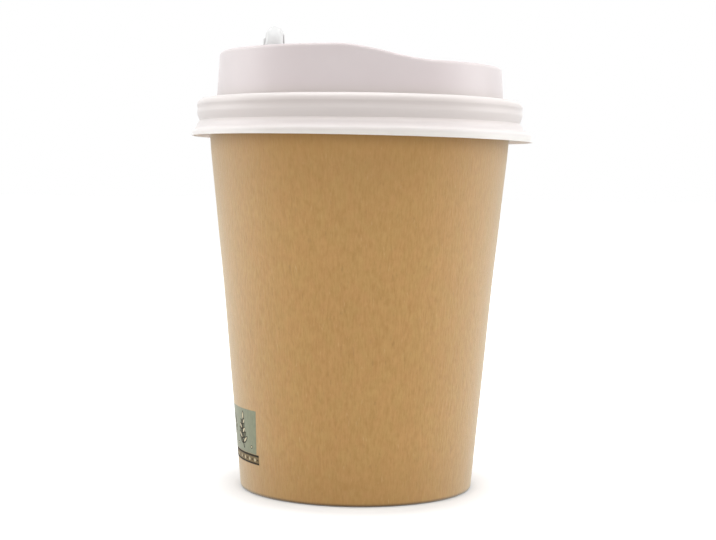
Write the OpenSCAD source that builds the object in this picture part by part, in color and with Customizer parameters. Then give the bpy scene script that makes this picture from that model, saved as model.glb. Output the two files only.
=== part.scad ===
// Paper cup for hot drinks, with a press-on lid and a hinged stopper for its sip hole.
// The origin is the centre of the foot, Z is up and the sip hole lies towards -X.

/* [Cup wall] */
// Diameter outside the rolled rim
rim_d = 79; // [74:0.5:90]
// Diameter outside the foot
foot_d = 58; // [50:0.5:62]
// Height from the foot to the top of the rolled rim
cup_h = 96.4; // [80:0.5:130]
// Thickness of the board of the wall
board = 0.4; // [0.3:0.05:0.5]
// Diameter of the roll of the rim
curl_d = 1.9; // [1.8:0.1:2.4]
// Height of the hem that is folded up inside the foot
hem_h = 6.4; // [4:0.2:8]
// Width of the glued side seam
seam_w = 7; // [5:0.5:9]
// Height at which the lap of the seam runs out under the lid
seam_top = 86; // [60:1:90]

/* [Base disc] */
// Thickness of the board of the base
base_board = 0.4; // [0.3:0.05:0.5]
// Height of the underside of the base above the foot
base_lift = 7; // [6:0.2:12]
// Radius of the turned edge of the base
base_turn = 0.8; // [0.6:0.1:1.2]

/* [Lid skirt] */
// Thickness of the plastic of the lid
lid_t = 0.4; // [0.35:0.05:0.5]
// How far the bead stands outside the snap crease
bead_out = 0.65; // [0.45:0.05:1.2]
// Radius of the rounded top of the bead
bead_round = 1.7; // [1.5:0.1:2.2]
// Height of the bulge at the top of the bead, which covers the roll of the rim
bulge_h = 4.2; // [3:0.1:4.4]
// Height of the top of the bead above the snap crease
bead_h = 5.9; // [5:0.1:7]
// Height of the flare below the snap crease
flare_h = 1.9; // [1:0.1:3]
// Reach of the flare outside the snap crease
flare_w = 1.9; // [1.2:0.1:3]
// Height of the upright lip below the flare, at the sip side
lip_h = 1.4; // [1:0.1:3]
// How much deeper the lip is on the side of the lift tab
lip_slope = 0.85; // [0:0.05:1.5]
// Reach of the lift tab outside the lip
tab_reach = 1.4; // [0:0.05:1.6]
// Half of the angle that the lift tab takes up
tab_half = 34; // [20:1:50]
// Depth of the seal ring inside the mouth, below the top of the bead
seal_h = 2.4; // [1.8:0.1:3]

/* [Lid dome] */
// Distance of the dome's wall inside the outside of the rim, at the height of the bead's top
dome_in = 3.7; // [3.6:0.1:6]
// Draft of the dome's wall in degrees
dome_draft = 3.8; // [1:0.1:6]
// Height of the crest above the bead at the sip side
crest_high = 11.5; // [9:0.1:14]
// Height of the crest above the bead at the far side
crest_low = 8.2; // [6:0.1:8.8]
// Where the crest starts to fall, along X
fall_start = -6; // [-10:0.5:0]
// Where the crest has come down, along X
fall_end = 18; // [12:0.5:26]
// Radius of the rounded crest
crest_round = 0.8; // [0.7:0.1:1.8]
// Width of the flat land on the crest
land_w = 2.4; // [1.5:0.1:3.5]
// Depth of the sip platform below the high crest
platform_drop = 2.5; // [1.5:0.1:3]
// Depth of the deck below the high crest
deck_drop = 6.9; // [5.5:0.1:7.2]
// Distance of the platform's edge from the axis of the cup
platform_edge = 17; // [14:0.5:18]

/* [Sip hole and stopper] */
// Width of the sip hole, towards the axis of the cup
sip_w = 4; // [3:0.1:4]
// Length of the sip hole along the rim
sip_l = 9; // [7:0.5:9]
// Diameter of the vent hole in the deck
vent_d = 1.2; // [0.8:0.1:2]
// Distance of the vent hole from the axis of the cup
vent_x = 20; // [10:0.5:24]
// Distance of the stopper's hinge from the axis of the cup
hinge_x = 19.9; // [19:0.1:20.4]
// Diameter of the stopper's rounded root
hinge_d = 1.4; // [1:0.1:1.6]
// Width of the stopper
stopper_w = 10; // [9:0.5:11]
// Length of the stopper from its hinge to its tip
stopper_l = 8.45; // [8:0.05:8.8]
// Thickness of the stopper's body on the side of the plug
stopper_t = 3.85; // [3:0.05:4.1]
// Thickness of the stopper's walls
stopper_wall = 0.6; // [0.4:0.05:0.8]
// How far the plug stands out of the stopper's body
plug_h = 0.45; // [0.3:0.05:0.8]

/* [Fits] */
// Glue line between two layers of board
glue_gap = 0.05; // [0.02:0.01:0.1]
// Clearance between the lid and the rolled rim
snap_gap = 0.1; // [0.06:0.01:0.2]
// Clearance between the seal ring and the mouth of the cup
seal_gap = 0.15; // [0.1:0.01:0.3]
// Clearance under the stopper's root and body
hinge_gap = 0.15; // [0.1:0.01:0.3]
// Clearance of the plug in the sip hole and of the stopper in its pocket
plug_gap = 0.5; // [0.3:0.05:0.6]

/* [Hidden] */
$fn = 96;
KRAFT = "#b98d54";
KRAFT_INSIDE = "#e9e2d4";
LID_WHITE = "#e9e4e3";
STOPPER_CLEAR = "#eceeec";
eps = 0.01;

// Cone of the wall: outside radius at height z, and the height of the curl's centre
curl_r = curl_d / 2;
curl_z = cup_h - curl_r;
neck_r = rim_d / 2 - curl_d + board;
taper = (neck_r - foot_d / 2) / curl_z;
function wall_r(z) = foot_d / 2 + taper * z;
function wall_in(z) = wall_r(z) - board;
// The foot holds three layers: the wall, the skirt of the base and the hem
skirt_out = board + glue_gap;
skirt_in = skirt_out + base_board;
hem_out = skirt_in + glue_gap;
hem_in = hem_out + board;
skirt_foot = board + glue_gap;

// Levels of the lid, all from the top of the cup's rim
bead_top = cup_h + snap_gap + lid_t;
crease_z = bead_top - bead_h;
crease_r = rim_d / 2 + snap_gap + lid_t;
bead_r = crease_r + bead_out;
lip_r = crease_r + flare_w;
flare_z = crease_z - flare_h;
seal_z = bead_top - seal_h;
seal_r = wall_in(seal_z - lid_t) - seal_gap - lid_t;
high_z = bead_top + crest_high;
low_z = bead_top + crest_low;
platform_z = high_z - platform_drop;
deck_z = high_z - deck_drop;
dome_r = rim_d / 2 - dome_in;

// Radii of the rounded edges at the seal ring and inside the crest
seal_round = 0.75;
inner_round = 0.8;
// Short slants that stand for small radii, at the lip, crease, bulge, seal ring and well
lip_turn = 0.25;
crease_turn = 0.45;
bulge_turn = 0.45;
seal_turn = 0.3;
well_turn = 0.3;
// How far the neck over the crease and the wall of the well lean outwards
neck_lean = 0.15;
well_lean = 0.6;
// Slope from the platform down to the deck, its rounding, and the margin between deck and well
platform_step = 1.6;
platform_turn = 0.4;
platform_soft = 0.04;
deck_margin = 1;
// Degrees over which the platform runs out at its two ends, and how far inside them that starts
run_out = 14;
run_start = 8;

// Facets of the lid round the axis
LID_FACETS = 80;
// Steps in each quarter turn of a rounded edge of the lid
ROUND_STEPS = 4;

function ramp(t) = let (s = min(max(t, 0), 1)) s * s * (3 - 2 * s);
// Height of the crest where the dome's wall passes x
function crest_z(x) = high_z - (high_z - low_z) * ramp((x - fall_start) / (fall_end - fall_start));
// Angle away from the lift tab, 0 at the tab and 180 at the sip side
function off_tab(a) = a > 180 ? 360 - a : a;
function tab_at(a) = off_tab(a) < tab_half ? (1 + cos(180 * off_tab(a) / tab_half)) / 2 : 0;
function arc(r, z, radius, from, to, steps) =
    [for (k = [0:steps]) let (b = from + (to - from) * k / steps) [r + radius * cos(b), z + radius * sin(b)]];

// Inside edge of the land, and the outline of the deck: a round with one straight side
land_in = dome_r - crest_high * tan(dome_draft) - crest_round - land_w;
well_r = land_in - inner_round - well_lean;
edge_sharp = 10;
function deck_r(a) = let (
        full = well_r - deck_margin,
        toward = max(-cos(a), 0) / platform_edge)
    1 / pow(pow(toward, edge_sharp) + pow(1 / full, edge_sharp), 1 / edge_sharp);
chord_half = acos(platform_edge / well_r);
function platform_at(a) = 1 - ramp((180 - off_tab(a) - chord_half + run_start) / run_out);
function floor_z(a) = deck_z + (platform_z - deck_z) * platform_at(a);

// Outside of the lid at angle a, from the lip up and over the crest to the deck
function lid_outside(a) = let (
        x = dome_r * cos(a),
        top = crest_z(x),
        reach = tab_reach * tab_at(a),
        lip_foot = flare_z - lip_h - lip_slope * (1 + cos(a)) / 2,
        round_r = dome_r - (top - crest_round - bead_top) * tan(dome_draft) - crest_round,
        level = floor_z(a),
        rise = level - deck_z,
        edge = deck_r(a))
    concat(
        [[lip_r + reach, lip_foot],
         [lip_r + reach, flare_z - lip_turn],
         [lip_r + reach / 2 - lip_turn, flare_z + lip_turn],
         [crease_r + crease_turn, crease_z - crease_turn],
         [crease_r, crease_z],
         [crease_r, crease_z + crease_turn],
         [crease_r + neck_lean, bead_top - bulge_h - bulge_turn / 2],
         [bead_r - bulge_turn / 4, bead_top - bulge_h + bulge_turn],
         [bead_r, bead_top - bulge_h + 2 * bulge_turn]],
        arc(bead_r - bead_round, bead_top - bead_round, bead_round, 0, 90, ROUND_STEPS + 1),
        arc(seal_r + seal_round, bead_top - seal_round, seal_round, 90, 180, ROUND_STEPS - 1),
        [[seal_r, seal_z + seal_turn],
         [seal_r - seal_turn, seal_z],
         [dome_r + seal_turn, seal_z],
         [dome_r, seal_z + seal_turn],
         [dome_r, bead_top]],
        arc(round_r, top - crest_round, crest_round, 0, 90, ROUND_STEPS),
        arc(round_r - land_w, top - inner_round, inner_round, 90, 160, ROUND_STEPS - 1),
        [[well_r, level + well_turn],
         [well_r - well_turn, level],
         [edge + platform_turn, level],
         [edge, level - rise * platform_soft],
         [edge - platform_step + platform_turn, deck_z + rise * platform_soft],
         [edge - platform_step, deck_z]]);

// Unit normal towards the inside of the lid for a step from p to q
function side(p, q) = let (d = q - p) [-d[1], d[0]] / norm(d);
// A chain of points moved towards the inside of the lid by one thickness
function inset(chain, t) = [for (k = [0:len(chain) - 1]) let (
        before = side(chain[max(k - 1, 0)], chain[max(k, 1)]),
        after = side(chain[min(k, len(chain) - 2)], chain[min(k + 1, len(chain) - 1)]),
        both = before + after)
    chain[k] + both * (2 * t / (both * both))];
function turned(p, a) = [p[0] * cos(a), p[0] * sin(a), p[1]];

// Shell of the lid: rings outside, rings inside, and the middle of the deck on both faces
module lid_shell() {
    rings = [for (k = [0:LID_FACETS - 1]) let (
            a = 360 * k / LID_FACETS,
            outer = lid_outside(a),
            inner = inset(outer, lid_t))
        concat(
            [for (p = outer) turned(p, a)],
            [for (j = [len(inner) - 1:-1:0]) turned(inner[j], a)])];
    n = len(rings[0]);
    half = n / 2;
    count = LID_FACETS * n;
    points = concat([for (ring = rings) each ring], [[0, 0, deck_z], [0, 0, deck_z - lid_t]]);
    faces = [for (k = [0:LID_FACETS - 1]) let (here = k * n, next = ((k + 1) % LID_FACETS) * n)
        each concat(
            [for (j = [0:n - 1]) if (j != half - 1) let (up = (j + 1) % n)
                each [[here + j, here + up, next + up], [here + j, next + up, next + j]]],
            [[here + half - 1, count, next + half - 1], [next + half, count + 1, here + half]])];
    polyhedron(points = points, faces = faces, convexity = 12);
}

module slot(length, width, height) {
    for (end = [-1, 1]) translate([0, end * (length - width) / 2, 0]) cylinder(d = width, h = height);
    translate([-width / 2, -(length - width) / 2, 0]) cube([width, length - width, height]);
}

// Stopper, standing up from its hinge: u is towards the sip side, v is up
hinge_r = hinge_d / 2;
hinge_z = platform_z + hinge_gap + hinge_r;
tip_r = stopper_w / 2;
pocket_floor = hinge_z - stopper_t - hinge_gap;
root_v = 1.35;
pocket_near = 1;
sip_near = 2.2;
// The plug swings in from above, so it needs more room at the far side of the sip hole
plug_near_gap = 0.15;
plug_far_gap = 0.85;
plug_from = sip_near + plug_near_gap;
plug_to = sip_near + sip_w - plug_far_gap;

// Plan of the stopper from its root to its round tip, grown by g
module tongue(g, from) {
    reach = stopper_l - tip_r;
    translate([reach, 0]) circle(r = tip_r + g);
    translate([from, -tip_r - g]) square([reach - from, stopper_w + 2 * g]);
}

// Pocket of the platform with the sip hole in its floor
module pocket(g, low, high) {
    translate([-hinge_x, 0, low]) rotate([0, 0, 180]) linear_extrude(high - low)
        tongue(plug_gap + g, pocket_near - g);
}

module lid() {
    color(LID_WHITE)
    difference() {
        union() {
            lid_shell();
            pocket(lid_t, pocket_floor - lid_t, platform_z - lid_t / 2);
        }
        pocket(0, pocket_floor, platform_z + eps);
        translate([-hinge_x - sip_near - sip_w / 2, 0, pocket_floor - lid_t - eps])
            slot(sip_l, sip_w, lid_t + 2 * eps);
        translate([vent_x, 0, deck_z - lid_t - eps]) cylinder(d = vent_d, h = lid_t + 2 * eps, $fn = 24);
    }
}

// Round of the stopper's tip from back to front, as shares of its whole thickness and of its length
TIP_SHARES = [
    [0, 0.5], [0.05, 0.78], [0.13, 0.9], [0.26, 0.97], [0.44, 1],
    [0.62, 1], [0.79, 0.96], [0.91, 0.88], [0.98, 0.78], [1, 0.66]];
// Height of the top of the open back, as a share of the length
BACK_SHARE = 0.75;
// Side outline of the stopper's body, drawn at u across and v up, and shrunk by g
module stopper_side(g) {
    offset(delta = -g) polygon(concat(
        [[-hinge_r, 0]],
        [for (p = TIP_SHARES) [(hinge_r + stopper_t) * p[0] - hinge_r, stopper_l * p[1]]],
        [[stopper_t, root_v], [hinge_r, root_v], [hinge_r, 0]]));
}

module stopper() {
    color(STOPPER_CLEAR)
    translate([-hinge_x, 0, hinge_z]) {
        rotate([90, 0, 0]) cylinder(d = hinge_d, h = stopper_w, center = true);
        difference() {
            union() {
                intersection() {
                    rotate([90, 0, 0]) linear_extrude(stopper_w, center = true)
                        mirror([1, 0]) stopper_side(0);
                    rotate([0, -90, 0]) linear_extrude(2 * stopper_w, center = true) tongue(0, 0);
                }
                translate([-stopper_t, 0, (plug_from + plug_to) / 2]) rotate([0, -90, 0])
                    slot(sip_l - 2 * plug_gap, plug_to - plug_from, plug_h);
            }
            intersection() {
                union() {
                    rotate([90, 0, 0]) linear_extrude(stopper_w, center = true)
                        mirror([1, 0]) stopper_side(stopper_wall);
                    translate([-hinge_r / 2, -stopper_w / 2, root_v + stopper_wall])
                        cube([hinge_d, stopper_w, stopper_l * BACK_SHARE - root_v - stopper_wall]);
                }
                rotate([0, -90, 0]) linear_extrude(2 * stopper_w, center = true)
                    tongue(-stopper_wall, root_v + stopper_wall);
            }
        }
    }
}

// Section of the wall with its folded hem, its turned foot and its rolled rim
module wall_section() {
    foot_round = board;
    polygon(concat(
        arc(wall_r(foot_round) - foot_round, foot_round, foot_round, 0, -90, 4),
        arc(wall_r(foot_round) - hem_in + foot_round, foot_round, foot_round, -90, -180, 4),
        [[wall_r(hem_h) - hem_in, hem_h], [wall_r(hem_h) - hem_out, hem_h],
         [wall_r(board) - hem_out, board], [wall_in(board), board],
         [wall_in(curl_z), curl_z], [wall_r(curl_z), curl_z]]));
    translate([rim_d / 2 - curl_r, curl_z]) difference() {
        circle(d = curl_d, $fn = 48);
        circle(d = curl_d - 2 * board, $fn = 48);
        translate([-curl_r, -curl_r]) square([board + (curl_d - 2 * board) * 0.4, curl_r]);
    }
}

// Outside lap of the side seam: it fades into the wall on one side and ends in a cut edge on the other
module seam_lap() {
    lap_shift = board * wall_r(cup_h / 2) / seam_w;
    low = 2 * board;
    difference() {
        intersection() {
            translate([lap_shift, 0, low]) cylinder(r1 = wall_r(low), r2 = wall_r(seam_top), h = seam_top - low);
            translate([0, 0, low]) cube([seam_w, rim_d, seam_top - low]);
        }
        translate([0, 0, low - eps]) cylinder(
            r1 = wall_r(low) - board / 2, r2 = wall_r(seam_top) - board / 2, h = seam_top - low + 2 * eps);
    }
}

module cup_wall() {
    color(KRAFT) {
        rotate_extrude() wall_section();
        seam_lap();
    }
}

// Base: a disc whose edge is turned down and held between the wall and its hem
module base_disc() {
    top = base_lift + base_board;
    bend_out = wall_r(top - base_turn) - skirt_out - base_turn;
    color(KRAFT_INSIDE) rotate_extrude() polygon(concat(
        [[0, base_lift]],
        arc(bend_out, top - base_turn, base_turn - base_board, 90, 0, 4),
        [[wall_r(skirt_foot) - skirt_in, skirt_foot], [wall_r(skirt_foot) - skirt_out, skirt_foot]],
        arc(bend_out, top - base_turn, base_turn, 0, 90, 6),
        [[0, top]]));
}

cup_wall();
base_disc();
lid();
stopper();
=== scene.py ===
from math import acos, asin, cos, degrees, hypot, pi, radians, sin, tan

import bmesh
import bpy
from mathutils import Matrix, Vector


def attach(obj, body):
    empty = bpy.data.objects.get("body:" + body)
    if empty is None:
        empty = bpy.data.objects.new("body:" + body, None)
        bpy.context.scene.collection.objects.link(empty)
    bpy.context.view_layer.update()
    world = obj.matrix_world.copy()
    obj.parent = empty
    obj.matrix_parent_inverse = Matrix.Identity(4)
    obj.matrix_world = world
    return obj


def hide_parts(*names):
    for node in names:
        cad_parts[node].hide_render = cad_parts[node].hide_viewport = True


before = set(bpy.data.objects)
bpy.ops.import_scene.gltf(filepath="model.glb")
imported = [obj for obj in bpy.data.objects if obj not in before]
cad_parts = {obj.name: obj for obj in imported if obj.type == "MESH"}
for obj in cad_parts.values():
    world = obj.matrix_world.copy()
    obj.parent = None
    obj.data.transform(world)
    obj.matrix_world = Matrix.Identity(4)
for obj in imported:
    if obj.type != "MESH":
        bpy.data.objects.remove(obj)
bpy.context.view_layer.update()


# Base disc.
# The real one is a round of white coated board. Its edge is turned down and held in the foot,
# glued between the wall and the hem, so the disc sits a little above the table.

MM = 0.001
BOARD = 0.4
GLUE = 0.05
FOOT_R = 29.0
CURL_CENTRE = (38.55, 95.45)
NECK_R = 38.0
TAPER = (NECK_R - FOOT_R) / CURL_CENTRE[1]
BASE_UNDERSIDE = 7.0
BASE_TURN = 0.8
BASE_SKIRT_FOOT = 0.6
BASE_CROWN = ((0.4, 0.12), (8, 0.1), (16, 0.05), (23, 0))
BASE_COLUMNS = 192
BASE_SHADE, BASE_WHITE, BASE_FLECK = (0.74, 0.70, 0.63), (0.80, 0.77, 0.70), (0.60, 0.55, 0.47)


def cone_r(z):
    return FOOT_R + TAPER * z


def ease(t):
    t = min(max(t, 0.0), 1.0)
    return t * t * (3 - 2 * t)


def bow_of(r, z, radius, start, end, steps):
    """Points on a circular bend about (r, z), angles in degrees."""
    bend = []
    for k in range(steps + 1):
        b = radians(start + (end - start) * k / steps)
        bend.append((r + radius * cos(b), z + radius * sin(b)))
    return bend


def at_angle(r, z, a):
    return (r * cos(a), r * sin(a), z)


def new_piece(name, points, faces):
    """A mesh object. Points are in metres."""
    mesh = bpy.data.meshes.new(name)
    mesh.from_pydata(points, [], faces)
    piece = bpy.data.objects.new(name, mesh)
    bpy.context.collection.objects.link(piece)
    return piece


def skin(name, rings, round_trip=True):
    """Close each ring on itself and join it to the next one. Points are in millimetres."""
    count = len(rings[0])
    points = [Vector(p) * MM for ring in rings for p in ring]
    faces = []
    for k in range(len(rings) if round_trip else len(rings) - 1):
        here, there = k * count, (k + 1) % len(rings) * count
        for j in range(count):
            up = (j + 1) % count
            faces.append((here + j, here + up, there + up, there + j))
    return new_piece(name, points, faces)


def fill_openings(piece, taken_out=()):
    """Take out the faces with these numbers, then close every open loop of edges with a face."""
    work = bmesh.new()
    work.from_mesh(piece.data)
    work.faces.ensure_lookup_table()
    bmesh.ops.delete(work, geom=[work.faces[k] for k in taken_out], context="FACES")
    bmesh.ops.holes_fill(work, edges=[e for e in work.edges if e.is_boundary])
    work.to_mesh(piece.data)
    work.free()


def face_outwards(piece, crease=40):
    """Turn all faces outwards and shade smooth across every edge flatter than the crease."""
    work = bmesh.new()
    work.from_mesh(piece.data)
    bmesh.ops.recalc_face_normals(work, faces=work.faces)
    work.to_mesh(piece.data)
    work.free()
    piece.data.shade_smooth()
    piece.data.set_sharp_from_angle(angle=radians(crease))


def node(tree, kind, **inputs):
    made = tree.nodes.new(kind)
    for name, value in inputs.items():
        made.inputs[name.replace("_", " ")].default_value = value
    return made


def new_finish(name, **shader_inputs):
    """A new material with its node tree, its shader and its object coordinates."""
    material = bpy.data.materials.new(name)
    material.use_nodes = True
    tree = material.node_tree
    shader = tree.nodes["Principled BSDF"]
    for socket, value in shader_inputs.items():
        shader.inputs[socket.replace("_", " ")].default_value = value
    place = tree.nodes.new("ShaderNodeTexCoord")
    return material, tree, shader, place.outputs["Object"]


def stretched(tree, coordinates, x, y, z):
    """Coordinates scaled by a factor along each axis, so that a grain is longer where it is below 1."""
    mapping = node(tree, "ShaderNodeMapping", Scale=(x, y, z))
    tree.links.new(coordinates, mapping.inputs["Vector"])
    return mapping.outputs["Vector"]


def grain(tree, coordinates, scale, detail=3.0, roughness=0.55):
    """Noise whose lumps are about 1 / scale metres."""
    noise = node(tree, "ShaderNodeTexNoise", Scale=scale, Detail=detail, Roughness=roughness)
    tree.links.new(coordinates, noise.inputs["Vector"])
    return noise.outputs["Fac"]


def spread(tree, value, low, high, to_low=0.0, to_high=1.0):
    """Stretch the span from low to high over to_low to to_high."""
    mapped = node(tree, "ShaderNodeMapRange")
    for socket, number in zip(("From Min", "From Max", "To Min", "To Max"), (low, high, to_low, to_high)):
        mapped.inputs[socket].default_value = number
    tree.links.new(value, mapped.inputs["Value"])
    return mapped.outputs["Result"]


def blend_colours(tree, factor, first, second):
    """Mix two colours, each a colour or an output socket, by a factor socket."""
    mixed = tree.nodes.new("ShaderNodeMix")
    mixed.data_type = "RGBA"
    tree.links.new(factor, mixed.inputs["Factor"])
    for socket, colour in ((mixed.inputs[6], first), (mixed.inputs[7], second)):
        if isinstance(colour, bpy.types.NodeSocket):
            tree.links.new(colour, socket)
        else:
            socket.default_value = (*colour, 1)
    return mixed.outputs[2]


def raise_surface(tree, shader, height, distance, strength=1.0):
    """Bump of the given height socket, with a full rise of distance in metres."""
    bump = node(tree, "ShaderNodeBump", Strength=strength, Distance=distance)
    tree.links.new(height, bump.inputs["Height"])
    tree.links.new(bump.outputs["Normal"], shader.inputs["Normal"])


base_top = BASE_UNDERSIDE + BOARD
base_bend_r = cone_r(base_top - BASE_TURN) - BOARD - GLUE - BASE_TURN
skirt_out_r = cone_r(BASE_SKIRT_FOOT) - BOARD - GLUE
base_section = (
    [(r, base_top + rise) for r, rise in BASE_CROWN]
    + bow_of(base_bend_r, base_top - BASE_TURN, BASE_TURN, 90, 0, 8)
    + [(skirt_out_r, BASE_SKIRT_FOOT), (skirt_out_r - BOARD, BASE_SKIRT_FOOT)]
    + bow_of(base_bend_r, base_top - BASE_TURN, BASE_TURN - BOARD, 0, 90, 6)
    + [(r, BASE_UNDERSIDE + rise) for r, rise in BASE_CROWN[::-1]])
base = skin("base_round", [
    [at_angle(r, z, 2 * pi * k / BASE_COLUMNS) for r, z in base_section] for k in range(BASE_COLUMNS)])
pinhole = [(k + 1) * len(base_section) - 1 for k in range(BASE_COLUMNS)]
fill_openings(base, pinhole)
face_outwards(base)

coated, tree, shader, coordinates = new_finish("coated_base_board", Roughness=0.5)
clouds = grain(tree, coordinates, 260, 4)
tone = blend_colours(tree, spread(tree, clouds, 0.35, 0.65), BASE_SHADE, BASE_WHITE)
fleck = spread(tree, grain(tree, stretched(tree, coordinates, 1, 0.35, 1), 2600, 2), 0.62, 0.7, 0, 0.35)
tree.links.new(blend_colours(tree, fleck, tone, BASE_FLECK), shader.inputs["Base Color"])
raise_surface(tree, shader, grain(tree, coordinates, 1500, 3), 0.00003)
base.data.materials.append(coated)
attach(base, "cup")
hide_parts("base_disc")


# Cup wall.
# The real wall is one fan-shaped blank of brown kraft board with a white coating inside. It is wrapped
# to a cone and glued along a lap at the back, folded up inside the foot and rolled outwards at the rim.

HEM_TOP = 6.4
HEM_LEVELS = (HEM_TOP, 5.9, 5.2, 4.4, 3.5, 2.6, 1.8, 1.2, 0.8)
HEM_MIDDLE = 2.5 * BOARD + 2 * GLUE
FOOT_MIDDLE = 0.3
FOLD_TURN = 0.24
KNURLS, KNURL_DEPTH, KNURL_FADES_BELOW = 72, 0.035, 0.6
CURL_R, CURL_END = 0.75, -112
SEAM_LAP, SEAM_RAMP = 7.0, 2.6
SEAM_LEVEL, SEAM_FADES_AT = 48, 86.0
PRESSED_LAP = 0.2
WALL_BOW = ((0, 0.12), (25, 0.0), (50, -0.15), (70, 0.03), (84, 0.16), (91, 0.03), (96, 0.0))
WAVE_TOP, LONG_WAVE, SHORT_WAVE = 92, 0.035, 0.02
WALL_COLUMNS, WALL_ROWS, LAP_COLUMNS, RAMP_COLUMNS = 414, 43, 9, 8

KRAFT_BROWN, KRAFT_TAN = (0.396, 0.212, 0.057), (0.432, 0.235, 0.066)
KRAFT_OLIVE, KRAFT_RUST = (0.400, 0.262, 0.072), (0.470, 0.222, 0.078)
KRAFT_MOTTLE, KRAFT_FIBRE = (0.356, 0.182, 0.042), (0.52, 0.305, 0.098)
BARK_FLECK, STRAW_FLECK = (0.235, 0.120, 0.036), (0.60, 0.42, 0.20)
# Painted contact shadow: a dark tone for the lowest millimetre of the foot.
# Painted shade: a darker tone for bands near the top and the foot of the wall.
KRAFT_PAINTED_SHADE, KRAFT_PAINTED_CONTACT_SHADOW = (0.315, 0.165, 0.040), (0.115, 0.060, 0.020)
# Painted light: a lighter tone that takes away the shadow under the lid's skirt.
KRAFT_PAINTED_LIGHT_UNDER_SKIRT = (0.460, 0.248, 0.066)
LINING_SHADE, LINING_WHITE = (0.76, 0.73, 0.66), (0.82, 0.79, 0.73)
CUT_BROWN, CUT_PALE = (0.36, 0.22, 0.09), (0.62, 0.45, 0.26)


def wall_bow(z):
    """How far the wall stands outside a straight cone: it draws in a little at mid height."""
    for (z0, b0), (z1, b1) in zip(WALL_BOW, WALL_BOW[1:]):
        if z <= z1:
            return b0 + (b1 - b0) * ease((z - z0) / (z1 - z0))
    return 0.0


def wall_wave(a, z):
    """Faint unevenness of board that was bent round by a machine."""
    middle = sin(pi * min(max(z / WAVE_TOP, 0), 1))
    return middle * (LONG_WAVE * sin(2 * a + 0.7 + z / 60) + SHORT_WAVE * sin(5 * a + 1.9 - z / 25))


def wall_face_r(a, z):
    """Radius of the outside of the wall."""
    return cone_r(z) + wall_bow(z) + wall_wave(a, z)


def blank_middle(a):
    """Middle line of the bent blank at one angle, from the edge of the hem to the end of the rolled rim."""
    knurl = KNURL_DEPTH * sin(KNURLS * a)
    line = [(cone_r(z) - HEM_MIDDLE + knurl * ease((HEM_TOP - KNURL_FADES_BELOW - z) / 1.2), z)
            for z in HEM_LEVELS]
    low = FOOT_MIDDLE + FOLD_TURN
    line += bow_of(cone_r(low) - HEM_MIDDLE + FOLD_TURN, low, FOLD_TURN, 180, 270, 5)
    line += bow_of(wall_face_r(a, low) - BOARD / 2 - FOLD_TURN, low, FOLD_TURN, 270, 360, 6)
    for k in range(1, WALL_ROWS):
        z = low + (CURL_CENTRE[1] - low) * k / WALL_ROWS
        line.append((wall_face_r(a, z) - BOARD / 2, z))
    line += bow_of(*CURL_CENTRE, CURL_R, 180, CURL_END, 22)
    return line


def seam_lift(z):
    """The lap is pressed flat in the foot and the rim, and stands a full board proud between them."""
    rise = ease((z - 1.5) / 2.5) * (1 - ease((z - SEAM_FADES_AT) / 6))
    return PRESSED_LAP + 0.8 * rise


def both_faces(line, lift):
    """Kraft face and white face of the board along its middle line, moved outwards by a part of a board."""
    kraft_face, white_face = [], []
    for k, (r, z) in enumerate(line):
        r0, z0 = line[max(k - 1, 0)]
        r1, z1 = line[min(k + 1, len(line) - 1)]
        length = hypot(r1 - r0, z1 - z0)
        out_r, out_z = (z1 - z0) / length, (r0 - r1) / length
        rise = lift * seam_lift(z) * (BOARD + GLUE)
        kraft_face.append((r + out_r * (rise + BOARD / 2), z + out_z * (rise + BOARD / 2)))
        white_face.append((r + out_r * (rise - BOARD / 2), z + out_z * (rise - BOARD / 2)))
    return kraft_face + white_face[::-1]


def seam_angle(x, z):
    """Angle of the point of the wall at the back that lies at x."""
    return pi / 2 - asin(x / cone_r(min(z, CURL_CENTRE[1])))


def lap_column(x, lift):
    """Section of the wall at a place x across the lap."""
    section = both_faces(blank_middle(seam_angle(x, SEAM_LEVEL)), lift)
    return [at_angle(r, z, seam_angle(x, z)) for r, z in section]


def plain_angle(share, z):
    """Angle at a share of the way round, from the end of the ramp to the start of the lap."""
    return seam_angle(-SEAM_RAMP, z) * (1 - share) + (seam_angle(SEAM_LAP, z) + 2 * pi) * share


def plain_column(share):
    section = both_faces(blank_middle(plain_angle(share, SEAM_LEVEL)), 0)
    return [at_angle(r, z, plain_angle(share, z)) for r, z in section]


def height_of(tree, coordinates):
    """Height above the table at rest, as a socket in metres."""
    axes = tree.nodes.new("ShaderNodeSeparateXYZ")
    tree.links.new(coordinates, axes.inputs["Vector"])
    return axes.outputs["Z"]


lap_places = [SEAM_LAP * (1 - k / LAP_COLUMNS) for k in range(LAP_COLUMNS + 1)]
wall_rings = [lap_column(x, 1.0) for x in lap_places]
wall_rings += [lap_column(-SEAM_RAMP * k / RAMP_COLUMNS, 1 - ease(k / RAMP_COLUMNS))
               for k in range(1, RAMP_COLUMNS + 1)]
wall_rings += [plain_column(k / WALL_COLUMNS) for k in range(1, WALL_COLUMNS)]
wall_rings += [lap_column(x, 0) for x in lap_places]
wall = skin("cup_wall_board", wall_rings, round_trip=False)
ring_length = len(wall_rings[0])
line_length = ring_length // 2

work = bmesh.new()
work.from_mesh(wall.data)
work.verts.ensure_lookup_table()
for start in (0, (len(wall_rings) - 1) * ring_length):
    for j in range(line_length - 1):
        work.faces.new([work.verts[start + i] for i in (j, j + 1, ring_length - 2 - j, ring_length - 1 - j)])
work.to_mesh(wall.data)
work.free()

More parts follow.
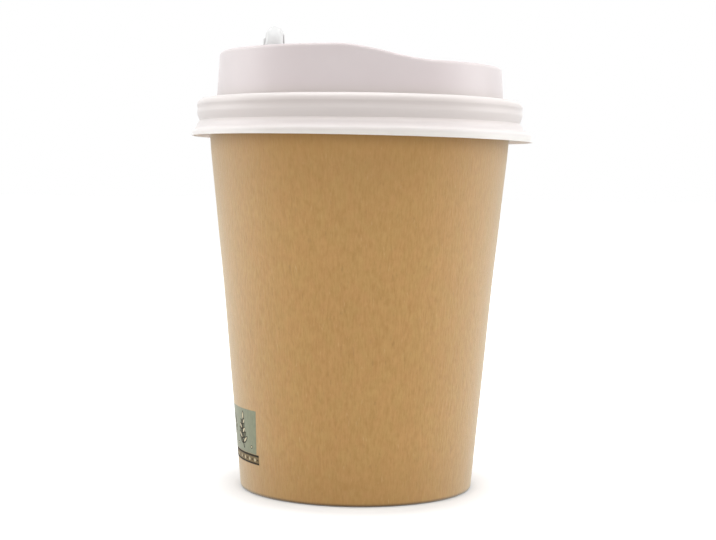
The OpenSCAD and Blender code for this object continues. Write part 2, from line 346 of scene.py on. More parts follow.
kraft, tree, shader, coordinates = new_finish(
    "brown_kraft_board", Roughness=0.55, IOR=1.45,
    Sheen_Weight=0.66, Sheen_Roughness=0.5, Sheen_Tint=(1, 1, 0.88, 1))
broad = spread(tree, grain(tree, coordinates, 28, 2), 0.3, 0.7)
hue = spread(tree, grain(tree, stretched(tree, coordinates, 1.3, 1.3, 0.8), 260, 2), 0.40, 0.60)
mottle = spread(tree, grain(tree, stretched(tree, coordinates, 1, 1, 0.7), 760, 3, 0.65), 0.35, 0.65)
fibres = spread(tree, grain(tree, stretched(tree, coordinates, 1, 1, 0.16), 2400, 3, 0.6), 0.37, 0.63)
tone = blend_colours(tree, broad, KRAFT_BROWN, KRAFT_TAN)
tone = blend_colours(tree, spread(tree, hue, 0, 1, 0.26, 0), tone, KRAFT_OLIVE)
tone = blend_colours(tree, spread(tree, hue, 0, 1, 0, 0.26), tone, KRAFT_RUST)
tone = blend_colours(tree, spread(tree, mottle, 0, 1, 0, 0.75), tone, KRAFT_MOTTLE)
tone = blend_colours(tree, spread(tree, fibres, 0, 1, 0, 0.38), tone, KRAFT_FIBRE)
dark_grain = grain(tree, stretched(tree, coordinates, 1, 1, 0.3), 1500, 1)
pale_grain = grain(tree, stretched(tree, coordinates, 1.2, 1.2, 0.2), 1900, 1)
tone = blend_colours(tree, spread(tree, dark_grain, 0.68, 0.78, 0, 0.3), tone, BARK_FLECK)
tone = blend_colours(tree, spread(tree, pale_grain, 0.69, 0.80, 0, 0.3), tone, STRAW_FLECK)
height = height_of(tree, coordinates)
for none_at, full_at, weight, colour in (
        # Painted shade: the board is darker in bands towards the top and towards the foot.
        (0.058, 0.080, 0.28, KRAFT_PAINTED_SHADE), (0.016, 0.003, 0.28, KRAFT_PAINTED_SHADE),
        # Painted contact shadow darkens the lowest millimetre of the foot.
        # Painted light brightens the board just under the lid's skirt.
        (0.0815, 0.0872, 0.5, KRAFT_PAINTED_LIGHT_UNDER_SKIRT), (0.0009, 0.0004, 0.85, KRAFT_PAINTED_CONTACT_SHADOW)):
    tone = blend_colours(tree, spread(tree, height, none_at, full_at, 0, weight), tone, colour)
tree.links.new(tone, shader.inputs["Base Color"])
raise_surface(tree, shader, fibres, 0.00003, 0.7)

lining, tree, shader, coordinates = new_finish("white_coated_lining", Roughness=0.38)
tone = blend_colours(tree, grain(tree, coordinates, 420, 4), LINING_SHADE, LINING_WHITE)
tree.links.new(tone, shader.inputs["Base Color"])
raise_surface(tree, shader, grain(tree, coordinates, 1800, 3), 0.00002)

cut_edge, tree, shader, coordinates = new_finish("cut_board_edge", Roughness=0.85)
tone = blend_colours(tree, grain(tree, coordinates, 3500, 3), CUT_BROWN, CUT_PALE)
tree.links.new(tone, shader.inputs["Base Color"])

for material in (kraft, lining, cut_edge):
    wall.data.materials.append(material)
for index, face in enumerate(wall.data.polygons):
    j = index % ring_length
    if index >= (len(wall_rings) - 1) * ring_length or j in (line_length - 1, ring_length - 1):
        face.material_index = 2
    elif j >= line_length:
        face.material_index = 1
face_outwards(wall)
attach(wall, "cup")
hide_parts("cup_wall")


# Printed panel.
# A sage field over a dark ornamental band, printed straight on the kraft low on the sip side before the
# blank is wrapped. The motif is a plain row of leaf sprigs, in ink a few hundredths of a millimetre thick.

PANEL_MIDDLE_R = 30.4
INK_STEP = 0.012
PRINT_ACROSS, PRINT_UP = 0.25, 0.8
FIELD = (20.4, 10.25, 21.05)
FIELD_CLOSES = 0.9
BAND_HALF, BAND_LOW, BAND_HIGH = 20.45, 7.75, 10.15
LOWER_RULE, UPPER_RULE, RULE_OVER = 0.45, 0.5, 0.02
DOTS_EACH_SIDE, DOTS_APART, DOT_R = 15, 1.33, 0.26
SPRIGS_APART, SPRIG_FOOT, SPRIG_H, SPRIG_BEND = 13.2, 11.1, 7.0, 0.7
BERRY_OUT, BERRY_Z = 4.2, 11.9
BUD_TIP_Z, BUD_SIDE_Z, BUD_DOT_Z = 16.3, 15.2, 14.7
LEAF_ROWS, LEAF_POINT, DISC_SIDES = 10, 0.004, 20

SAGE, DARK, CREAM, TAUPE, DUSK = range(5)
INKS = (
    ("sage_ink", (0.182, 0.200, 0.116), 0.42), ("dark_ink", (0.020, 0.014, 0.005), 0),
    ("cream_ink", (0.60, 0.52, 0.34), 0.2), ("taupe_ink", (0.166, 0.112, 0.042), 0.12),
    ("dusk_ink", (0.098, 0.098, 0.050), 0.12))
WORN_INK, FULL_INK = 0.86, 1.16


class PanelPrint:
    """Gathers flat shapes, s along the panel and z up, and lays them on the wall in layers of ink."""

    def __init__(self):
        self.points, self.faces, self.inks = [], [], []

    def lay(self, rows, layer, ink):
        """Lay a grid of (s, z) points in one ink."""
        start, width = len(self.points), len(rows[0])
        for row in rows:
            for s, z in row:
                a = pi + s / PANEL_MIDDLE_R
                self.points.append(at_angle(wall_face_r(a, z) + INK_STEP + layer * INK_STEP, z, a))
        for j in range(len(rows) - 1):
            for i in range(width - 1):
                corner = start + j * width + i
                self.faces.append((corner, corner + 1, corner + width + 1, corner + width))
                self.inks.append(ink)

    def box(self, half, z0, z1, layer, ink, closes=0.0):
        """Lay an upright box of a half width at its top, which closes in by a length towards its foot."""
        across, up = max(int(half / PRINT_ACROSS), 1), max(int((z1 - z0) / PRINT_UP), 1)
        rows = []
        for j in range(up + 1):
            reach = half - closes * (1 - j / up)
            z = z0 + (z1 - z0) * j / up
            rows.append([(reach * (2 * i / across - 1), z) for i in range(across + 1)])
        self.lay(rows, layer, ink)

    def leaf(self, s, z, length, width, lean, layer, ink):
        """Pointed leaf from its foot at (s, z), leaning by an angle from upright."""
        rows = []
        for j in range(LEAF_ROWS + 1):
            t = j / LEAF_ROWS
            half = width / 2 * sin(pi * t ** 0.8) ** 0.85 if 0 < t < 1 else LEAF_POINT
            rows.append([
                (s + length * t * sin(lean) + half * side * cos(lean),
                 z + length * t * cos(lean) - half * side * sin(lean))
                for side in (-1, -0.5, 0, 0.5, 1)])
        self.lay(rows, layer, ink)

    def disc(self, s, z, radius, layer, ink):
        """Lay a round of ink."""
        rows = []
        for share in (0.02, 0.5, 1.0):
            rows.append([
                (s + radius * share * cos(2 * pi * k / DISC_SIDES),
                 z + radius * share * sin(2 * pi * k / DISC_SIDES))
                for k in range(DISC_SIDES + 1)])
        self.lay(rows, layer, ink)

    def stem(self, path, width, layer, ink):
        """Lay a line that thins to half its width at its end."""
        rows = []
        for k, (s, z) in enumerate(path):
            s0, z0 = path[max(k - 1, 0)]
            s1, z1 = path[min(k + 1, len(path) - 1)]
            length = hypot(s1 - s0, z1 - z0)
            half = width / 2 * (1 - 0.5 * k / (len(path) - 1))
            rows.append([(s + side * half * (z1 - z0) / length, z - side * half * (s1 - s0) / length)
                         for side in (-1, 1)])
        self.lay(rows, layer, ink)

    def sprig(self, middle, bend):
        """Five pairs of leaves on a bent stem, a leaf at its tip, and a berry each side of its foot."""
        line = [(middle + bend * SPRIG_BEND * sin(pi * (k / 12) * 1.1), SPRIG_FOOT + SPRIG_H * k / 12)
                for k in range(13)]
        self.stem(line, 0.5, 2, DARK)
        for order, index in enumerate((2, 4, 6, 8, 10)):
            s, z = line[index]
            length = 3.3 - 0.36 * order
            lean = 0.98 - 0.06 * order
            for side in (-1, 1):
                self.leaf(s, z + 0.1 * side, length, 1.24, side * lean, 1, DARK)
                ink = CREAM if (order + (side > 0)) % 2 else DUSK
                self.leaf(s + side * 0.36, z + 0.1 * side + 0.26, length * 0.74, 0.66, side * lean, 2, ink)
        s, z = line[-1]
        self.leaf(s, z - 0.1, 2.5, 1.3, -0.12 * bend, 1, DARK)
        self.leaf(s, z + 0.25, 1.8, 0.7, -0.12 * bend, 2, CREAM)
        for side in (-1, 1):
            self.disc(middle + side * BERRY_OUT, BERRY_Z, 0.42, 1, DARK)
            self.disc(middle + side * BERRY_OUT, BERRY_Z, 0.24, 2, CREAM)

    def bud(self, middle):
        """A small upright leaf over two leaning ones and a dot, between two sprigs."""
        self.leaf(middle, BUD_TIP_Z, 2.9, 1.2, 0, 1, DARK)
        self.leaf(middle, BUD_TIP_Z + 0.35, 2.1, 0.66, 0, 2, DUSK)
        for side in (-1, 1):
            self.leaf(middle + side * 0.3, BUD_SIDE_Z, 1.9, 0.8, side * 0.9, 1, DUSK)
        self.disc(middle, BUD_DOT_Z, 0.4, 1, DARK)


panel = PanelPrint()
panel.box(*FIELD, 0, SAGE, FIELD_CLOSES)
panel.box(BAND_HALF, BAND_LOW, BAND_HIGH, 0, TAUPE)
panel.box(BAND_HALF, BAND_HIGH - UPPER_RULE, BAND_HIGH + RULE_OVER, 1, DARK)
panel.box(BAND_HALF, BAND_LOW, BAND_LOW + LOWER_RULE, 1, DARK)
row_z = (BAND_LOW + BAND_HIGH) / 2 - 0.05
for k in range(-DOTS_EACH_SIDE, DOTS_EACH_SIDE + 1):
    if k % 2:
        panel.disc(k * DOTS_APART, row_z, DOT_R, 1, DARK)
    else:
        panel.leaf(k * DOTS_APART, row_z - 0.5, 1.0, 0.66, 0, 1, CREAM)
for middle, bend in ((-SPRIGS_APART, -1), (0, 1), (SPRIGS_APART, -1)):
    panel.sprig(middle, bend)
for middle in (-SPRIGS_APART / 2, SPRIGS_APART / 2):
    panel.bud(middle)
print_piece = new_piece("panel_print", [Vector(p) * MM for p in panel.points], panel.faces)

for name, colour, sheen in INKS:
    ink, tree, shader, coordinates = new_finish(
        name, Roughness=0.6, IOR=1.32, Sheen_Weight=sheen, Sheen_Roughness=0.5, Sheen_Tint=(1, 0.98, 0.95, 1))
    wear = spread(tree, grain(tree, stretched(tree, coordinates, 1, 1, 0.5), 1400, 4, 0.65), 0.32, 0.68)
    worn, full = tuple(c * WORN_INK for c in colour), tuple(c * FULL_INK for c in colour)
    tree.links.new(blend_colours(tree, wear, worn, full), shader.inputs["Base Color"])
    print_piece.data.materials.append(ink)
for face, ink in zip(print_piece.data.polygons, panel.inks):
    face.material_index = ink
print_piece.data.shade_smooth()
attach(print_piece, "cup")


# Lid.
# The real lid is thermoformed from one white plastic sheet. A bead snaps over the rolled rim and a flare
# with a lift tab hangs below it. The dome's crest falls in an S from the sip side, round a sunken deck.

LID_T = 0.4
BEAD_TOP, CREASE_Z, FLARE_Z, SEAL_Z = 96.9, 91.3, 89.1, 94.5
CREASE_R, BEAD_R, LIP_R, DOME_R = 40.0, 40.65, 41.9, 35.8
BEAD_ROUND, BULGE_H, BULGE_FOOT = 1.7, 4.2, 0.7
SEAL_ROUND, SEAL_CHAMFER, SEAL_GAP = 0.75, 0.3, 0.15
LIP_H, LIP_SLOPE = 1.4, 0.85
TAB_REACH, TAB_HALF = 1.4, 34.0
HIGH_Z, LOW_Z, PLATFORM_Z, DECK_Z = 108.4, 105.1, 105.9, 101.5
FALL_START, FALL_END = -6.0, 18.0
CREST_ROUND, LAND_W = 0.8, 2.4
WELL_ROUND, WELL_LEAN, WELL_CHAMFER = 0.8, 0.6, 0.3
DRAFT = tan(radians(3.8))
SEAL_R = cone_r(SEAL_Z - LID_T) - BOARD - SEAL_GAP - LID_T
WELL_R = DOME_R - (HIGH_Z - BEAD_TOP) * DRAFT - CREST_ROUND - LAND_W - WELL_ROUND - WELL_LEAN
PLATFORM_EDGE, PLATFORM_STEP, STEP_ROUND, STEP_SLOPE = 17.0, 1.6, 0.4, 0.04
PLATFORM_HALF = degrees(acos(PLATFORM_EDGE / WELL_R))
PLATFORM_EARLY, PLATFORM_FADE = 8, 14
DECK_INSET, DECK_CROWN, DECK_SQUARENESS = 1, 0.1, 10
DECK_RINGS = (0.85, 0.6, 0.35, 0.12)
HINGE_X, HINGE_Z, HINGE_R = 19.9, 106.75, 0.7
FLAP_TIP, FLAP_HALF = 8.45, 5.0
POCKET_FLOOR, POCKET_NEAR, POCKET_GAP = 102.75, 1.0, 0.5
SIP_FROM_HINGE, SIP_LENGTH, SIP_WIDTH = 4.2, 9.0, 4.0
VENT_X, VENT_R, VENT_POINTS = 20, 0.6, 24
LID_COLUMNS = 240

# Points of the skirt: out and up from the lip, with the share of the tab's reach that each one takes,
# then out and up from the crease, and in and down from the top of the bead, where a groove runs round.
LIP_CURVE = ((0, 1, -0.4), (-0.12, 0.7, -0.05), (-0.75, 0.25, 0.4))
NECK_CURVE = ((0.78, -1.3), (0.58, -0.6), (0, 0), (0, 0.25), (0.3, 0.9), (0.5, 1.5))
BEAD_GROOVE = ((0.14, 2.6), (0.04, 1.9))

LID_SHADE, LID_WHITE = (0.562, 0.495, 0.495), (0.582, 0.515, 0.515)

# Painted light and shade on the skirt, from the bead down to the thin lip: a warm painted shade round the
# foot of the dome, a painted highlight along the bead's top, painted shade below it, and lighter bands down
# to a lip painted as if lit through.
# The heights in metres where each one starts and where it is full, its weight and its colour.
SKIRT_PAINTED_LIGHT_AND_SHADE = (
    (0.0995, 0.0968, 0.75, (0.560, 0.505, 0.480)), (0.0974, 0.0968, 1, (0.640, 0.590, 0.570)),
    (0.0964, 0.0957, 1, (0.562, 0.507, 0.486)), (0.0945, 0.0930, 1, (0.615, 0.560, 0.540)),
    (0.0913, 0.0900, 1, (0.625, 0.575, 0.565)), (0.0896, 0.0886, 1, (0.675, 0.640, 0.630)),
    (0.0884, 0.0878, 1, (0.750, 0.725, 0.690)))


def off_tab(a):
    """Degrees away from the lift tab, 0 at the tab and 180 at the sip side."""
    a = degrees(a) % 360
    return 360 - a if a > 180 else a


def platform_at(a):
    """1 on the sip platform, 0 on the deck, and between them where one rises to the other."""
    return 1 - ease((180 - off_tab(a) - PLATFORM_HALF + PLATFORM_EARLY) / PLATFORM_FADE)


def deck_edge(a):
    """Outline of the deck: a round with one straight side along the sip platform."""
    toward = max(-cos(a), 0) / PLATFORM_EDGE
    around = 1 / (WELL_R - DECK_INSET)
    return 1 / (toward ** DECK_SQUARENESS + around ** DECK_SQUARENESS) ** (1 / DECK_SQUARENESS)


def lid_profile(a):
    """Outside of the lid at one angle, from the lip up over the crest and down to the deck."""
    top = HIGH_Z - (HIGH_Z - LOW_Z) * ease((DOME_R * cos(a) - FALL_START) / (FALL_END - FALL_START))
    away = off_tab(a)
    reach = TAB_REACH * (1 + cos(pi * away / TAB_HALF)) / 2 if away < TAB_HALF else 0
    line = [(LIP_R + reach, FLARE_Z - LIP_H - LIP_SLOPE * (1 + cos(a)) / 2)]
    line += [(LIP_R + out + reach * share, FLARE_Z + up) for out, share, up in LIP_CURVE]
    line += [(CREASE_R + out, CREASE_Z + up) for out, up in NECK_CURVE]
    line += [(BEAD_R, BEAD_TOP - BULGE_H + BULGE_FOOT)]
    line += [(BEAD_R - deep, BEAD_TOP - down) for deep, down in BEAD_GROOVE]
    line += bow_of(BEAD_R - BEAD_ROUND, BEAD_TOP - BEAD_ROUND, BEAD_ROUND, 0, 90, 7)
    line += bow_of(SEAL_R + SEAL_ROUND, BEAD_TOP - SEAL_ROUND, SEAL_ROUND, 90, 180, 5)
    line += [(SEAL_R, SEAL_Z + SEAL_CHAMFER), (SEAL_R - SEAL_CHAMFER, SEAL_Z),
             (DOME_R + SEAL_CHAMFER, SEAL_Z), (DOME_R, SEAL_Z + SEAL_CHAMFER), (DOME_R, BEAD_TOP)]

    round_r = DOME_R - (top - CREST_ROUND - BEAD_TOP) * DRAFT - CREST_ROUND
    wall_top_r, wall_top_z = round_r + CREST_ROUND, top - CREST_ROUND
    for k in (2, 3, 4):
        line.append((DOME_R + (wall_top_r - DOME_R) * k / 5, BEAD_TOP + (wall_top_z - BEAD_TOP) * k / 5))
    line += bow_of(round_r, wall_top_z, CREST_ROUND, 0, 90, 7)
    line += bow_of(round_r - LAND_W, top - WELL_ROUND, WELL_ROUND, 90, 160, 5)

    level = DECK_Z + (PLATFORM_Z - DECK_Z) * platform_at(a)
    slope = (level - DECK_Z) * STEP_SLOPE
    edge = deck_edge(a)
    line += [(WELL_R, level + WELL_CHAMFER), (WELL_R - WELL_CHAMFER, level), (edge + STEP_ROUND, level),
             (edge, level - slope), (edge - PLATFORM_STEP + STEP_ROUND, DECK_Z + slope),
             (edge - PLATFORM_STEP, DECK_Z)]
    return line


def soften(line):
    """Cut every corner of a line once, and keep its two ends."""
    soft = [line[0]]
    for (r0, z0), (r1, z1) in zip(line, line[1:]):
        soft.append((r0 * 0.75 + r1 * 0.25, z0 * 0.75 + z1 * 0.25))
        soft.append((r0 * 0.25 + r1 * 0.75, z0 * 0.25 + z1 * 0.75))
    return soft + [line[-1]]


def one_sheet_in(line, t):
    """The same line on the other face of a sheet of thickness t, mitred at each point."""
    steps = []
    for (r0, z0), (r1, z1) in zip(line, line[1:]):
        length = hypot(r1 - r0, z1 - z0)
        steps.append(Vector((z0 - z1, r1 - r0)) / length)
    inner = []
    for k, (r, z) in enumerate(line):
        both = steps[max(k - 1, 0)] + steps[min(k, len(steps) - 1)]
        move = both * (2 * t / both.dot(both))
        inner.append((r + move.x, z + move.y))
    return inner


def tongue_line(length, half_width, near, grow, steps=48):
    """Plan of the pocket: a straight sided tongue with a round tip, grown all round."""
    reach = length - half_width
    line = [(near - grow, -half_width - grow), (reach, -half_width - grow)]
    for k in range(1, steps):
        b = -pi / 2 + pi * k / steps
        line.append((reach + (half_width + grow) * cos(b), (half_width + grow) * sin(b)))
    return line + [(reach, half_width + grow), (near - grow, half_width + grow)]


def round_slot(length, width, grow, steps=24):
    """Plan of the sip hole: a slot with two round ends, grown all round."""
    line, radius = [], width / 2 + grow
    for end in (1, -1):
        for k in range(steps + 1):
            b = pi * k / steps + (0 if end > 0 else pi)
            line.append((radius * cos(b), end * (length - width) / 2 + radius * sin(b)))
    return line


def pocket_outline(grow):
    return [(-HINGE_X - u, v) for u, v in tongue_line(FLAP_TIP, FLAP_HALF, POCKET_NEAR, POCKET_GAP + grow)]


def sip_outline(grow):
    return [(-HINGE_X - SIP_FROM_HINGE + x, y) for x, y in round_slot(SIP_LENGTH, SIP_WIDTH, grow)]


def stack(name, levels):
    """Solid tool for a union or a cut, from closed outlines at rising heights."""
    tool = skin(name, [[(x, y, z) for x, y in outline] for outline, z in levels], round_trip=False)
    fill_openings(tool)
    face_outwards(tool)
    return tool


def work_in(piece, deeds):
    """Join solid tools to a piece or cut them out of it, one after the other, and put the tools away."""
    for tool, deed in deeds:
        step = piece.modifiers.new(tool.name, "BOOLEAN")
        step.operation, step.object, step.solver = deed, tool, "EXACT"
    finished = bpy.data.meshes.new_from_object(piece.evaluated_get(bpy.context.evaluated_depsgraph_get()))
    piece.modifiers.clear()
    piece.data = finished
    for tool, deed in deeds:
        bpy.data.objects.remove(tool)


lid_rings = []
for k in range(LID_COLUMNS):
    a = 2 * pi * k / LID_COLUMNS
    outside = soften(lid_profile(a))
    inside = one_sheet_in(outside, LID_T)
    for share in DECK_RINGS:
        deck_r = (deck_edge(a) - PLATFORM_STEP) * share
        deck_z = DECK_Z + DECK_CROWN * (1 - share * share)
        outside.append((deck_r, deck_z))
        inside.append((deck_r, deck_z - LID_T))
    lid_rings.append([at_angle(r, z, a) for r, z in outside + inside[::-1]])
lid = skin("lid_shell", lid_rings)
ring_length = len(lid_rings[0])
deck_middle = [k * ring_length + ring_length // 2 - 1 for k in range(LID_COLUMNS)]
fill_openings(lid, deck_middle)
face_outwards(lid)

tray = stack("tray", [(pocket_outline(grow), z) for grow, z in (
    (LID_T - 0.35, POCKET_FLOOR - LID_T), (LID_T - 0.1, POCKET_FLOOR - LID_T + 0.1),
    (LID_T, POCKET_FLOOR - 0.05), (LID_T, PLATFORM_Z - LID_T / 2))])
hollow = stack("hollow", [(pocket_outline(grow), z) for grow, z in (
    (-0.4, POCKET_FLOOR), (-0.12, POCKET_FLOOR + 0.12), (0, POCKET_FLOOR + 0.4), (0, PLATFORM_Z - 0.3),
    (0.06, PLATFORM_Z - 0.12), (0.2, PLATFORM_Z), (0.35, PLATFORM_Z + 0.1))])
sip_hole = stack("sip_hole", [(sip_outline(grow), z) for grow, z in (
    (0.1, POCKET_FLOOR - LID_T - 0.2), (0, POCKET_FLOOR - LID_T + 0.06), (0, POCKET_FLOOR - 0.12),
    (0.16, POCKET_FLOOR + 0.06))])
vent_outline = [
    (VENT_X + VENT_R * cos(2 * pi * k / VENT_POINTS), VENT_R * sin(2 * pi * k / VENT_POINTS))
    for k in range(VENT_POINTS)]
vent = stack("vent", [(vent_outline, DECK_Z - 1), (vent_outline, DECK_Z + 1)])
work_in(lid, ((tray, "UNION"), (hollow, "DIFFERENCE"), (sip_hole, "DIFFERENCE"), (vent, "DIFFERENCE")))
face_outwards(lid, 32)

white_plastic, tree, shader, coordinates = new_finish(
    "white_lid_plastic", Roughness=0.42, IOR=1.45, Sheen_Weight=0.5, Sheen_Roughness=0.5,
    Subsurface_Radius=(1, 0.92, 0.9), Subsurface_Scale=0.002)
haze = spread(tree, grain(tree, coordinates, 60, 3), 0.3, 0.7)
tone = blend_colours(tree, haze, LID_SHADE, LID_WHITE)
height = height_of(tree, coordinates)
# Painted light and shade down the skirt, band by band, over the plastic's own haze.
for starts_at, full_at, weight, colour in SKIRT_PAINTED_LIGHT_AND_SHADE:
    tone = blend_colours(tree, spread(tree, height, starts_at, full_at, 0, weight), tone, colour)
tree.links.new(tone, shader.inputs["Base Color"])
thin_lip = spread(tree, height, 0.0896, 0.0886, 0.2, 1)
tree.links.new(thin_lip, shader.inputs["Subsurface Weight"])
raise_surface(tree, shader, grain(tree, coordinates, 90, 2), 0.00012, 0.5)
lid.data.materials.clear()
lid.data.materials.append(white_plastic)
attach(lid, "lid")
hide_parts("lid")


# Stopper.
# The real one is a hollow flap of cloudy plastic on a thin hinge across its root. It stands up while
# the cup is drunk from, and its plug is pressed down into the sip hole to close it.

FLAP_ROOT = 1.35
PLUG_LOW, PLUG_HIGH, PLUG_HALF, PLUG_FRONT = 2.35, 5.35, 4.0, 4.3
OUTLINE_POINTS = 96

# Layers of the flap from its plug to its back and then down into its hollow: how far each outline
# draws in, for the flap the height of its tip above the hinge, and how far in front of the hinge it is.
PLUG_LAYERS = ((1.3, PLUG_FRONT), (0.45, PLUG_FRONT), (0.2, 4.24), (0.05, 4.12), (0, 4.0), (-0.08, 3.88))
FLAP_LAYERS = (
    (0.85, 5.75, 3.85), (0.55, 6.3, 3.8), (0.28, 6.95, 3.64), (0.1, 7.5, 3.38), (0.02, 8.0, 2.95),
    (0, 8.32, 2.4), (0, FLAP_TIP, 1.8), (0, 8.42, 1.2), (0, 8.2, 0.48), (0.02, 7.85, 0.1),
    (0.08, 7.45, -0.2), (0.2, 7.0, -0.47), (0.36, 6.75, -0.62), (0.5, 6.6, -0.68))
HOLLOW_LAYERS = (
    (0.68, 6.42, -0.62), (0.7, 6.7, -0.3), (0.66, 7.5, 0.45), (0.66, 7.8, 1.2), (0.7, 7.75, 1.9),
    (0.82, 7.45, 2.5), (1.1, 6.8, 2.95), (1.5, 6.1, 3.2), (2.5, 5.0, 3.25))

ROOT_SHARES = (-1, -0.985, -0.96, -0.93, -0.9, -0.6, -0.3, 0, 0.3, 0.6, 0.9, 0.93, 0.96, 0.985, 1)
CLOUDY_SHADE, CLOUDY_WHITE = (0.68, 0.685, 0.68), (0.73, 0.735, 0.73)


def evenly(line, count):
    """Points at even distances along a closed line."""
    closed = line + [line[0]]
    lengths = [hypot(x1 - x0, y1 - y0) for (x0, y0), (x1, y1) in zip(closed, closed[1:])]
    total, spaced = sum(lengths), []
    for k in range(count):
        walked = total * k / count
        for (p, q), length in zip(zip(closed, closed[1:]), lengths):
            if walked <= length:
                t = walked / length
                spaced.append((p[0] + (q[0] - p[0]) * t, p[1] + (q[1] - p[1]) * t))
                break
            walked -= length
    return spaced


def mirrored(line):
    """A closed outline from its half at one side, which starts on the middle line."""
    return evenly(line + [(-y, v) for y, v in line[:0:-1]], OUTLINE_POINTS)


def flap_outline(half, low, high, corner):
    """Outline across y and up v: rounded corners at the root and a wide round tip."""
    tip_round = min(half, high - low) * 0.98
    line = [(0, low)] + bow_of(half - corner, low + corner, corner, -90, 0, 6)
    return mirrored(line + bow_of(half - tip_round, high - tip_round, tip_round, 0, 90, 20))


def slot_outline(half, low, high):
    """Outline of the plug: a slot with two round ends."""
    radius = (high - low) / 2
    return mirrored([(0, low)] + bow_of(half - radius, low + radius, radius, -90, 90, 20))


def root_section(y):
    """Section of the rounded root with the web that carries the flap, narrower at its two ends."""
    end = ease((FLAP_HALF - abs(y)) / 0.5)
    r = HINGE_R * (0.72 + 0.28 * end)
    line = bow_of(0, 0, r, 180, 360, 16)
    line += [(r, 0.5), (r * 0.9, 1.2), (r * 0.9, 1.9), (-r * 0.9, 1.9), (-r * 0.9, 1.2), (-r, 0.5)]
    return [(-HINGE_X - u, y, HINGE_Z + v) for u, v in line]


flap_rings = [
    (slot_outline(PLUG_HALF - drop, PLUG_LOW + drop, PLUG_HIGH - drop), u) for drop, u in PLUG_LAYERS]
flap_rings += [
    (flap_outline(FLAP_HALF - drop, FLAP_ROOT + drop * 0.5, high, 0.6), u) for drop, high, u in FLAP_LAYERS]
flap_rings += [
    (flap_outline(FLAP_HALF - drop, FLAP_ROOT + drop, high, 0.5), u) for drop, high, u in HOLLOW_LAYERS]
flap = skin("stopper_flap", [
    [(-HINGE_X - u, y, HINGE_Z + v) for y, v in outline] for outline, u in flap_rings], round_trip=False)
fill_openings(flap)
face_outwards(flap)
root = skin("stopper_root", [root_section(FLAP_HALF * share) for share in ROOT_SHARES], round_trip=False)
fill_openings(root)
face_outwards(root)
work_in(flap, ((root, "UNION"),))
face_outwards(flap, 38)

cloudy_plastic, tree, shader, coordinates = new_finish(
    "translucent_stopper_plastic", Roughness=0.42, IOR=1.4, Transmission_Weight=0.16,
    Subsurface_Weight=0.4, Subsurface_Radius=(1, 0.98, 0.98), Subsurface_Scale=0.002)
tone = blend_colours(tree, grain(tree, coordinates, 300, 3), CLOUDY_SHADE, CLOUDY_WHITE)
tree.links.new(tone, shader.inputs["Base Color"])
raise_surface(tree, shader, grain(tree, coordinates, 1500, 3), 0.00001)
flap.data.materials.clear()
flap.data.materials.append(cloudy_plastic)
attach(flap, "stopper")
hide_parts("stopper")


# Studio.
# A pale table without an edge, a white surround, and large soft lamps to the left, the right and above.
# The camera stands low in front and looks slightly down, as in the photograph.

TABLE_CORNERS = ((-4, -3, 0), (4, -3, 0), (4, 6, 0), (-4, 6, 0))
TABLE_GREY = (0.62, 0.62, 0.62, 1)
WHITE = (1, 1, 1, 1)

# Distances from the middle of the foot, in metres, over which the table's glow grows, and its strengths. The
# glow is kept low near the foot, which paints the size of the shadow round the cup.
FOOT_GLOW_PAINTED_SHADOW = (0.0286, 0.0312, 0.1, 0.21)
SHADOW_GLOW = (0.0355, 0.058, 0, 0.5)
SHADOW_WIDTH = 1.3
SURROUND_LIGHT, SURROUND_SEEN = 0.46, 1.0

# Each lamp's name, place, width, height and watts.
LAMPS = (
    ("left_softbox", (-0.9, 0.16, 0.3), 0.7, 0.9, 5.1), ("right_softbox", (0.9, 0.1, 0.3), 0.7, 0.9, 5.8),
    ("top_softbox", (0.0, -0.1, 1.1), 1.0, 1.0, 9.0), ("front_softbox", (0.0, -1.25, 0.3), 1.3, 1.1, 7.2))
LAMPS_AIM = Vector((0, 0, 0.06))

LENS_AT = Vector((0, -0.38974, 0.07683))
PITCH, ROLL = radians(3.29), radians(0.666)
FOCAL, SENSOR, NEAREST = 77.73, 36, 0.01


def reckon(tree, operation, first, second):
    """Result of a sum on two sockets."""
    result = node(tree, "ShaderNodeMath")
    result.operation = operation
    tree.links.new(first, result.inputs[0])
    tree.links.new(second, result.inputs[1])
    return result.outputs[0]


def distance_of(tree, coordinates):
    """Distance from the origin, as a socket in metres."""
    measure = node(tree, "ShaderNodeVectorMath")
    measure.operation = "LENGTH"
    tree.links.new(coordinates, measure.inputs[0])
    return measure.outputs["Value"]


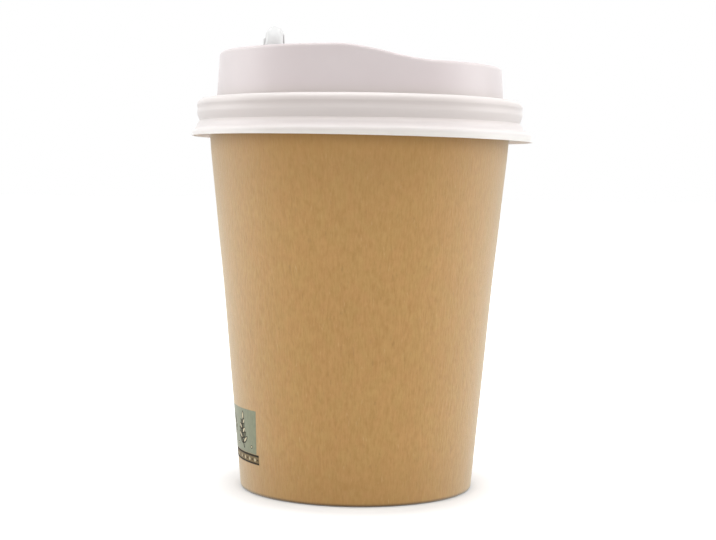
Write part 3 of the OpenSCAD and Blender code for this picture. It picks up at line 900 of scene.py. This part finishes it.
table = new_piece("table", TABLE_CORNERS, [(0, 1, 2, 3)])
tabletop, tree, matt, coordinates = new_finish(
    "white_tabletop", Base_Color=TABLE_GREY, Roughness=0.9, Emission_Color=WHITE)
# Painted shadow over the real one: the glow that the camera sees is low at the foot and grows outwards,
# faster to the sides.
foot_glow_painted_shadow = spread(tree, distance_of(tree, coordinates), *FOOT_GLOW_PAINTED_SHADOW)
wide = stretched(tree, coordinates, SHADOW_WIDTH, 1, 1)
shadow_glow = spread(tree, distance_of(tree, wide), *SHADOW_GLOW)
glow = reckon(tree, "ADD", foot_glow_painted_shadow, shadow_glow)
rays = tree.nodes.new("ShaderNodeLightPath")
seen_glow = reckon(tree, "MULTIPLY", rays.outputs["Is Camera Ray"], glow)
tree.links.new(seen_glow, matt.inputs["Emission Strength"])
table.data.materials.append(tabletop)

world = bpy.data.worlds.new("surround")
bpy.context.scene.world = world
world.use_nodes = True
tree = world.node_tree
sky = tree.nodes["Background"]
sky.inputs["Color"].default_value = WHITE
rays = tree.nodes.new("ShaderNodeLightPath")
direct = reckon(tree, "MAXIMUM", rays.outputs["Is Camera Ray"], rays.outputs["Is Glossy Ray"])
clear = reckon(tree, "MAXIMUM", direct, rays.outputs["Is Transmission Ray"])
tree.links.new(spread(tree, clear, 0, 1, SURROUND_LIGHT, SURROUND_SEEN), sky.inputs["Strength"])

for name, place, width, height, watts in LAMPS:
    lamp = bpy.data.lights.new(name, "AREA")
    lamp.shape, lamp.size, lamp.size_y, lamp.energy = "RECTANGLE", width, height, watts
    holder = bpy.data.objects.new(name, lamp)
    bpy.context.collection.objects.link(holder)
    holder.location = place
    holder.rotation_euler = (LAMPS_AIM - Vector(place)).to_track_quat("-Z", "Y").to_euler()

ahead = Vector((0, cos(PITCH), -sin(PITCH)))
above = Vector((0, sin(PITCH), cos(PITCH)))
aside = Vector((1, 0, 0))
view_x = aside * cos(ROLL) + above * sin(ROLL)
view_y = above * cos(ROLL) - aside * sin(ROLL)
camera_data = bpy.data.cameras.new("camera")
camera_data.lens, camera_data.sensor_width, camera_data.clip_start = FOCAL, SENSOR, NEAREST
camera = bpy.data.objects.new("camera", camera_data)
bpy.context.collection.objects.link(camera)
turn = Matrix((view_x, view_y, -ahead)).transposed().to_4x4()
camera.matrix_world = Matrix.Translation(LENS_AT) @ turn
bpy.context.scene.camera = camera
bpy.context.scene.view_settings.view_transform = "Standard"
